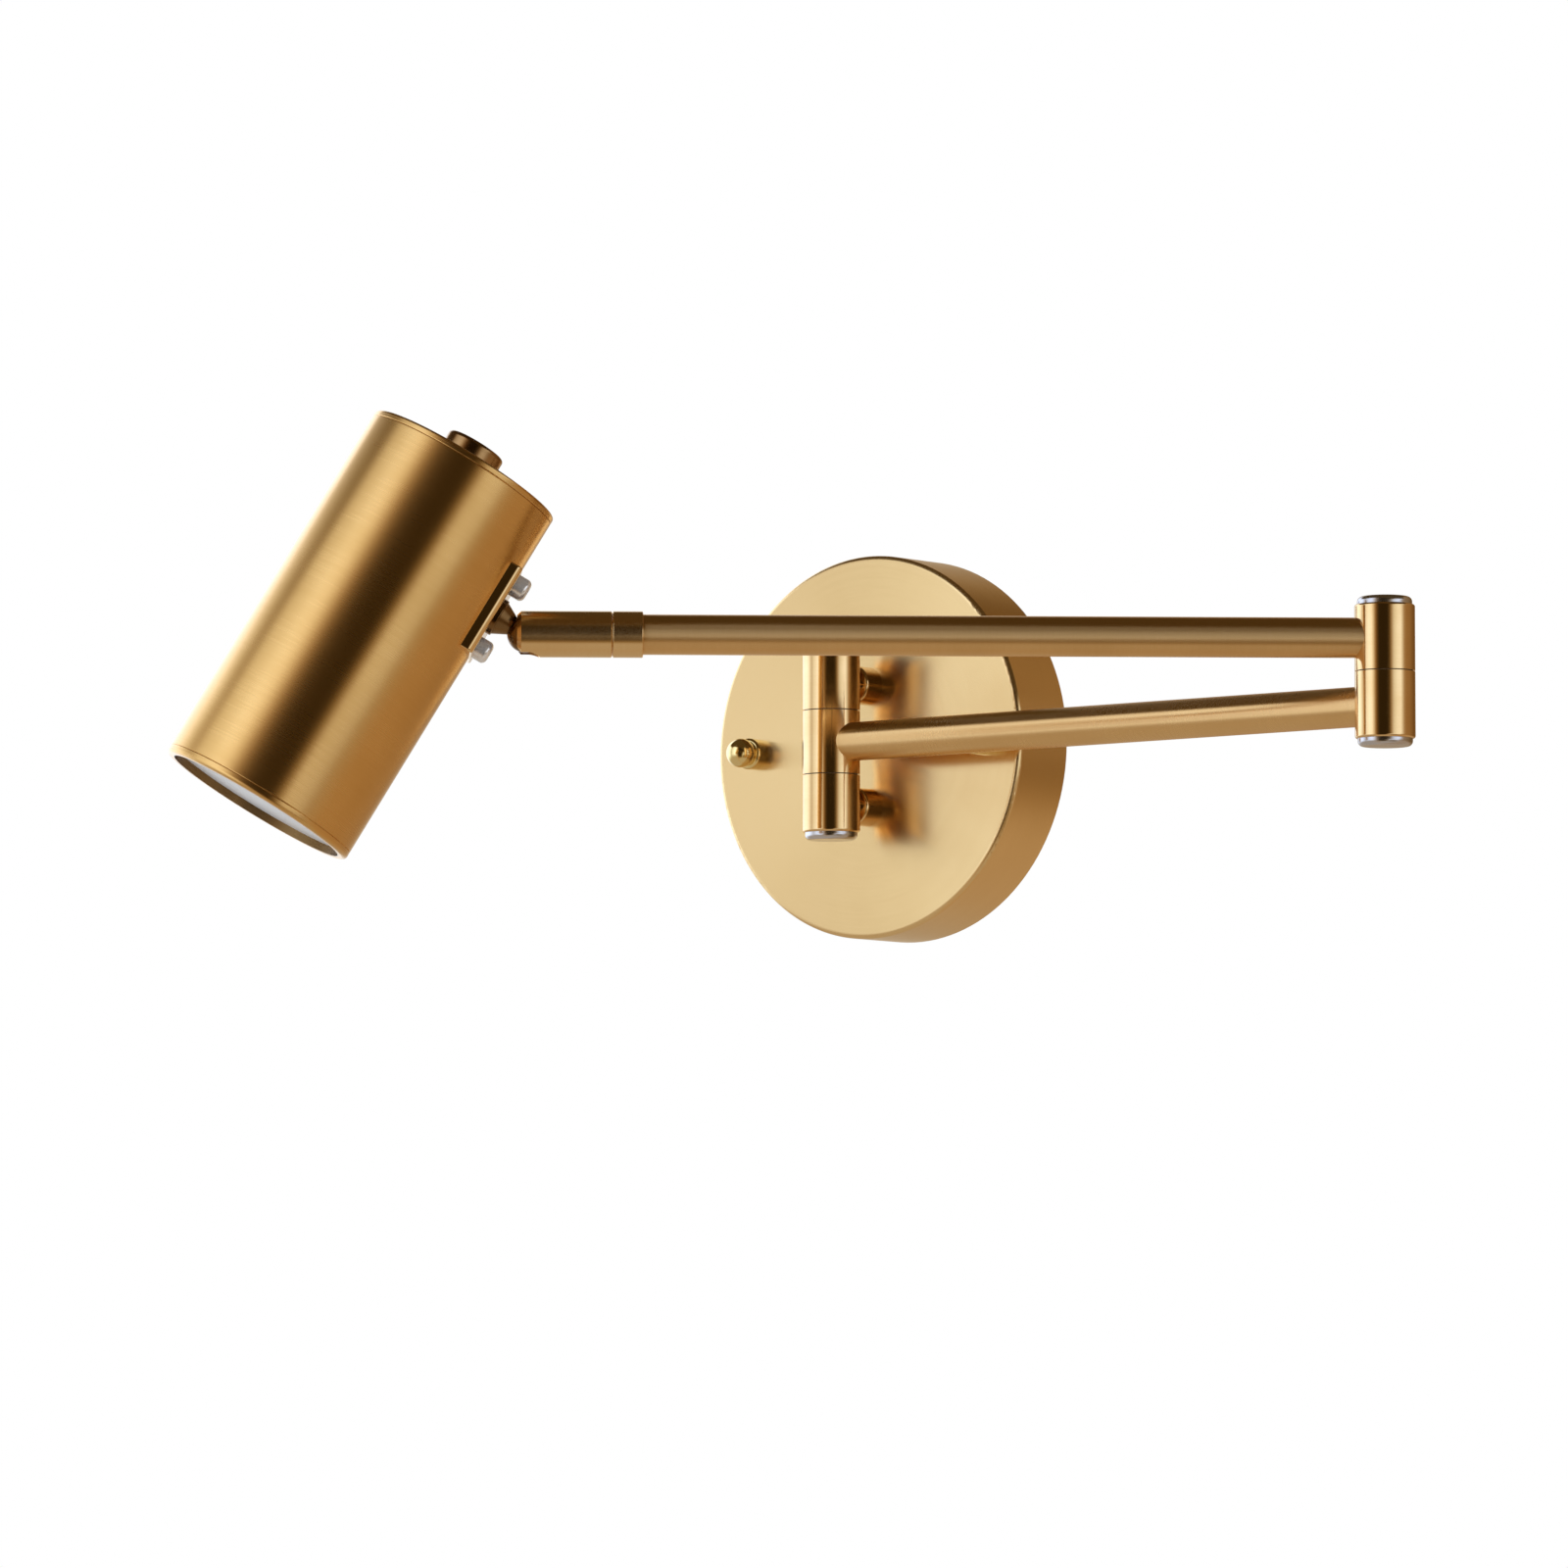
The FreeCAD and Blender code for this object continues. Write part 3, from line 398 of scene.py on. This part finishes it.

# What makes each finish, and what that takes after the name and the place:
# brushed_metal: colour, shade, roughness, anisotropy, relief, and the radius of the bezel's
# painted recess shade;
# polished_metal: colour, shade, roughness;
# moulded: colour, shade, roughness, grain per metre, relief, and how metallic a metal is.
FINISHES = {
    "canopy_brass": (brushed_metal, *FACE_BRASS, 0.21, 0.85, 0.04),
    "head_brass": (brushed_metal, *BRASS, 0.28, 0.80, 0.03),
    # The bezel's recess gets painted shade.
    "bezel_brass_painted_shade": (brushed_metal, *BRASS, 0.28, 0.80, 0.03, LIP_RADIUS),
    "arm_brass": (brushed_metal, *ARM_BRASS, 0.28, 0.92, 0.002),
    "satin_arm": (brushed_metal, *ARM_BRASS, 0.38, 1.0, 0.01),
    "socket_brass": (brushed_metal, *BRIGHT_BRASS, 0.18, 0.95, 0.02),
    "pivot_brass": (brushed_metal, *BRASS, 0.35, 0.4, 0.10),
    "polished_brass": (polished_metal, *BRIGHT_BRASS, 0.10),
    "dark_brass": (polished_metal, *DARK_PAINTED_SHADE_BRASS, 0.18),
    "brown_brass": (polished_metal, *BROWN_PAINTED_SHADE_BRASS, 0.18),
    "yellow_brass": (polished_metal, *YELLOW_BRASS, 0.12),
    "silver_caps": (polished_metal, *BLUISH_STEEL, 0.20),
    "zinc_steel": (plated_steel,),
    "bright_steel": (moulded, *WHITE_STEEL, 0.20, 1400.0, 0.1, 0.7),
    "sink_aluminium": (moulded, *ALUMINIUM, 0.38, 1600.0, 0.3, 1.0),
    "brown_nylon": (moulded, *BROWN_NYLON, 0.45, 900.0, 0.15),
    "nylon": (moulded, *PALE_NYLON, 0.45, 900.0, 0.15),
    "black_rubber": (moulded, *BLACK_RUBBER, 0.6, 1500.0, 0.3),
    "switch_plastic": (moulded, *BLACK_PLASTIC, 0.4, 1400.0, 0.2),
    "white_plastic": (moulded, *WHITE_PLASTIC, 0.42, 1800.0, 0.25),
    "flex": (moulded, *WHITE_FLEX, 0.5, 800.0, 0.15),
    "opal_diffuser": (moulded, *OPAL, 0.38, 2500.0, 0.08),
    "white_reflector": (moulded, *WHITE_PAINT, 0.3, 1200.0, 0.1),
    "board_white": (moulded, *WHITE_MASK, 0.35, 700.0, 0.1),
    "foam_pad": (foam,),
    "led_phosphor": (phosphor,),
}


def finish_at(finish, place_name):
    """A finish made for the axis of one place and shared by the pieces there."""
    name = finish + "_" + place_name
    made = bpy.data.materials.get(name)
    if made:
        return made
    maker, *settings = FINISHES[finish]
    return maker(name, PLACES[place_name], *settings)


# Nodes whose finish isn't the one that their material slot is named after.
OWN_FINISH = {
    "front_bezel": "bezel_brass_painted_shade",
    "upper_arm_tube": "satin_arm",
    "swivel_socket": "socket_brass",
    "arm_collar": "socket_brass",
    # The ball stem takes brass darkened to brown as painted shade.
    "ball_stem": "brown_brass",
    "canopy_cap_nuts": "yellow_brass",
    # The switch knob takes brass darkened as painted shade.
    "switch_button": "dark_brass",
    "saddle_screws": "bright_steel",
    "post_washers": "brown_nylon",
    "elbow_washer": "brown_nylon",
}

for place_name, members in NODES_AT.items():
    for node in members:
        for slot in frame["nodes"][node].material_slots:
            slot.material = finish_at(OWN_FINISH.get(node, slot.material.name), place_name)


# ---------------------------------------------------------------- studio

WHITE = (1.0, 1.0, 1.0)

# The viewpoint round the post: two angles, metres, pixels of the square photograph, and the
# sensor's width in millimetres.
CAMERA_AZIMUTH = math.radians(38.587)
CAMERA_ELEVATION = math.radians(-4.926)
CAMERA_DISTANCE = 2.8
PHOTO_SIDE = 1600
FOCAL_PIXELS = 9193.0
OPTICAL_CENTRE = (848.14, 758.26)
SENSOR_WIDTH = 36.0
CLIP_END = 100.0

# The tent that the metal mirrors stands close on the lamp's left and further off on its right.
TENT_RADIUS = 1.4
TENT_SHIFT = (0.75, 0.1, 0.0)
# Light levels of its parts.
TENT_PEAK = 1.5
GROUND_LEVEL = 0.49
UNDER_STRIP_LEVEL = 0.22
CEILING_LEVEL = 0.08

# The floor's depth below the lamp, and its size.
FLOOR_BELOW = 0.45
FLOOR_RADIUS = 4.0
FLOOR_GREY = ((0.62, 0.62, 0.62), (0.60, 0.60, 0.60))
# Light that the floor gives to the camera alone, and that the sky gives to soft surfaces.
FLOOR_GLOW = 0.42
SKY_ON_SOFT = 0.62

# Level and warmth of the tent's light at each azimuth round the post, in degrees from -Y towards
# +X: two soft boxes on the left, a dark gap round the camera, a strip light on the right, and the
# dim, warm side of the room.
STUDIO_BANDS = [
    (-180, 0.22, 0.7), (-150, 0.45, 0.3), (-138, 0.65, 0.0), (-126, 1.05, 0.0), (-112, 1.35, 0.0),
    (-92, 1.42, 0.0), (-74, 1.48, 0.0), (-62, 1.25, 0.0), (-51, 0.82, 0.0), (-44, 0.71, 0.0),
    (-36, 0.97, 0.0), (-26, 1.10, 0.0), (-15, 1.32, 0.0), (-5, 1.24, 0.2), (3, 0.78, 0.4),
    (9, 0.36, 0.7), (15, 0.12, 0.8), (22, 0.03, 0.0), (46, 0.03, 0.0), (53, 0.11, 0.0),
    (60, 0.42, 0.0), (68, 0.84, 0.0), (80, 1.06, 0.0), (93, 1.14, 0.0), (101, 0.72, 0.1),
    (108, 0.42, 0.5), (118, 0.34, 0.8), (135, 0.31, 0.8), (150, 0.24, 0.8), (165, 0.17, 0.8),
    (180, 0.22, 0.7),
]
# Colour of the light at each level: brown in the dark parts, a touch cool in the brightest.
LIGHT_TINTS = [
    (0.0, (0.0, 0.0, 0.0)),
    (0.05, (0.05, 0.031, 0.011)),
    (0.20, (0.20, 0.128, 0.052)),
    (0.35, (0.35, 0.255, 0.145)),
    (0.50, (0.50, 0.425, 0.33)),
    (0.70, (0.70, 0.67, 0.64)),
    (0.90, (0.90, 0.93, 0.93)),
    (1.50, (1.50, 1.66, 1.95)),
]
WARM_TINT = (1.0, 0.80, 0.58)

# Where the tent's parts begin and end, as azimuths in degrees.
LEAN_START = (20.0, 50.0)
GAP_START = (2.0, 16.0)
GAP_END = (50.0, 64.0)
STRIP_START = (30.0, 60.0)
STRIP_END = (120.0, 140.0)
UNDER_STRIP_END = (82.0, 96.0)
BOX_START = (-104.0, -84.0)
BOX_END = (-50.0, -28.0)
# Elevations in degrees where they begin, or change by.
LEAN_BOTTOM = -12.0
GROUND_TOP = -4.0
GROUND_FULL = -31.0
GROUND_FULL_AT_STRIP = -25.0
GROUND_DROP_IN_GAP = 21.0
UNDER_STRIP_BOTTOM = (-30.0, -48.0)
CEILING_START = (36.0, 46.0)
CEILING_DROP_AT_BOX = 10.0
CEILING_DROP_AT_STRIP = 20.0
# Degrees that the bands on the right lean for each degree of elevation.
LEAN = -0.75


def mesh_object(name, shape, material):
    """A scene object from a bmesh."""
    mesh = bpy.data.meshes.new(name)
    shape.to_mesh(mesh)
    shape.free()
    mesh.materials.append(material)
    piece = bpy.data.objects.new(name, mesh)
    bpy.context.scene.collection.objects.link(piece)
    return piece


def dome_angles(g):
    """Azimuth and elevation of a direction, in degrees."""
    parts = g.add("SeparateXYZ", {0: g.vector("NORMALIZE", object_point(g))})
    azimuth = g.math("ARCTAN2", parts.outputs["X"], g.math("MULTIPLY", parts.outputs["Y"], -1.0))
    elevation = g.math("ARCSINE", parts.outputs["Z"])
    return g.math("DEGREES", azimuth), g.math("DEGREES", elevation)


def tent_bands(g, azimuth, elevation):
    """Level, out of the peak, and warmth of the upright bands."""
    height = g.math("MAXIMUM", elevation, LEAN_BOTTOM)
    lean = g.math("MULTIPLY", g.fade(azimuth, *LEAN_START, 0.0, LEAN), height)
    turned = g.fit(g.math("ADD", azimuth, lean), -180.0, 180.0)
    stops = []
    for at, level, warmth in STUDIO_BANDS:
        stops.append(((at + 180) / 360, (level / TENT_PEAK, warmth, 0.0)))
    band = g.add("SeparateXYZ", {0: g.ramp(turned, stops)}).outputs
    return band["X"], band["Y"]


def tent_ground(g, azimuth, elevation, strip):
    """How far the ground covers the bands, and its level out of the peak."""
    gap = g.math("MULTIPLY", g.fade(azimuth, *GAP_START), g.fade(azimuth, *GAP_END, 1.0, 0.0))
    lowered = g.math("MULTIPLY", gap, GROUND_DROP_IN_GAP)
    full = g.fit(strip, 0.0, 1.0, GROUND_FULL, GROUND_FULL_AT_STRIP)
    cover = g.fade(g.math("ADD", elevation, lowered), GROUND_TOP, full)
    under = g.math("MULTIPLY", strip, g.fade(azimuth, *UNDER_STRIP_END, 1.0, 0.0))
    under = g.math("MULTIPLY", under, g.fade(elevation, *UNDER_STRIP_BOTTOM, 1.0, 0.0))
    level = g.fit(under, 0.0, 1.0, GROUND_LEVEL / TENT_PEAK, UNDER_STRIP_LEVEL / TENT_PEAK)
    return cover, level


def tent_ceiling(g, azimuth, elevation, strip):
    """How far the ceiling covers the bands."""
    start = g.fade(azimuth, *BOX_START, 0.0, CEILING_DROP_AT_BOX)
    at_box = g.math("MULTIPLY", start, g.fade(azimuth, *BOX_END, 1.0, 0.0))
    dropped = g.math("ADD", at_box, g.math("MULTIPLY", strip, CEILING_DROP_AT_STRIP))
    return g.fade(g.math("ADD", elevation, dropped), *CEILING_START)


def studio_tent():
    """Soft boxes and dark flags round the lamp, which only gloss and clear materials see."""
    material = bpy.data.materials.new("studio_tent")
    g = Graph(material)
    azimuth, elevation = dome_angles(g)
    strip = g.fade(azimuth, *STRIP_START)
    strip = g.math("MULTIPLY", strip, g.fade(azimuth, *STRIP_END, 1.0, 0.0))
    level, warmth = tent_bands(g, azimuth, elevation)
    ground, ground_level = tent_ground(g, azimuth, elevation, strip)
    ceiling = tent_ceiling(g, azimuth, elevation, strip)
    for cover, covered in ((ground, ground_level), (ceiling, CEILING_LEVEL / TENT_PEAK)):
        change = g.math("SUBTRACT", covered, level)
        level = g.math("ADD", level, g.math("MULTIPLY", cover, change))
    tints = [(at / TENT_PEAK, [part / TENT_PEAK for part in colour]) for at, colour in LIGHT_TINTS]
    cast = g.blend(warmth, WHITE, WARM_TINT)
    colour = g.vector("MULTIPLY", g.ramp(level, tints), cast)
    glow = g.add("Emission", {"Color": colour, "Strength": TENT_PEAK})
    g.add("OutputMaterial", {"Surface": glow.outputs[0]})
    shape = bmesh.new()
    bmesh.ops.create_uvsphere(shape, u_segments=64, v_segments=32, radius=TENT_RADIUS)
    bmesh.ops.translate(shape, vec=TENT_SHIFT, verts=shape.verts)
    tent = mesh_object("studio_tent", shape, material)
    tent.location = POST
    tent.visible_camera = False
    tent.visible_diffuse = False
    tent.visible_shadow = False


def studio_floor(height):
    """Pale floor well below the lamp, with the lamp's faint shadow."""
    material = bpy.data.materials.new("studio_floor")
    g = Graph(material)
    cloud = g.noise(object_point(g), scale=6.0, detail=3.0)
    soft = g.add("BsdfDiffuse", {"Color": g.blend(cloud, *FLOOR_GREY)})
    to_camera = g.math("MULTIPLY", g.add("LightPath").outputs["Is Camera Ray"], FLOOR_GLOW)
    glow = g.add("Emission", {"Color": (*WHITE, 1), "Strength": to_camera})
    both = g.add("AddShader", {0: soft.outputs[0], 1: glow.outputs[0]})
    g.add("OutputMaterial", {"Surface": both.outputs[0]})
    shape = bmesh.new()
    bmesh.ops.create_circle(shape, cap_ends=True, segments=96, radius=FLOOR_RADIUS)
    floor = mesh_object("studio_floor", shape, material)
    floor.location = (0, 0, height)
    floor.visible_glossy = False


def studio_world():
    """White to the camera, gloss and clear materials; a plain soft level for everything else."""
    world = bpy.data.worlds.new("studio_world")
    bpy.context.scene.world = world
    g = Graph(world)
    path = g.add("LightPath").outputs
    seen = g.math("MAXIMUM", path["Is Camera Ray"], path["Is Glossy Ray"])
    seen = g.math("MAXIMUM", seen, path["Is Transmission Ray"])
    strength = g.fit(seen, 0.0, 1.0, SKY_ON_SOFT, 1.0)
    sky = g.add("Background", {"Color": (*WHITE, 1), "Strength": strength})
    g.add("OutputWorld", {"Surface": sky.outputs[0]})


def area_light(name, location, size, power):
    """A soft lamp aimed at the post. Gloss doesn't see it; the tent holds what gloss sees."""
    light = bpy.data.lights.new(name, "AREA")
    light.size = size
    light.energy = power
    lamp = bpy.data.objects.new(name, light)
    lamp.location = location
    lamp.rotation_euler = (POST - Vector(location)).to_track_quat("-Z", "Y").to_euler()
    lamp.visible_glossy = False
    bpy.context.scene.collection.objects.link(lamp)


def camera_at_photo():
    """The photograph's viewpoint: a long lens a little below the arms."""
    back = Vector((
        math.sin(CAMERA_AZIMUTH) * math.cos(CAMERA_ELEVATION),
        -math.cos(CAMERA_AZIMUTH) * math.cos(CAMERA_ELEVATION),
        math.sin(CAMERA_ELEVATION),
    ))
    data = bpy.data.cameras.new("camera")
    data.sensor_width = SENSOR_WIDTH
    data.lens = SENSOR_WIDTH * FOCAL_PIXELS / PHOTO_SIDE
    data.shift_x = 0.5 - OPTICAL_CENTRE[0] / PHOTO_SIDE
    data.shift_y = OPTICAL_CENTRE[1] / PHOTO_SIDE - 0.5
    data.clip_end = CLIP_END
    camera = bpy.data.objects.new("camera", data)
    camera.location = POST + CAMERA_DISTANCE * back
    camera.rotation_euler = (-back).to_track_quat("-Z", "Y").to_euler()
    bpy.context.scene.collection.objects.link(camera)
    bpy.context.scene.camera = camera


studio_world()
studio_tent()
studio_floor(cad_box[0].z - FLOOR_BELOW)
area_light("key_light", (-1.6, -2.6, 1.5), size=1.8, power=42.0)
area_light("fill_light", (2.2, -1.8, 0.6), size=1.6, power=14.0)
camera_at_photo()
bpy.context.scene.view_settings.view_transform = "Standard"
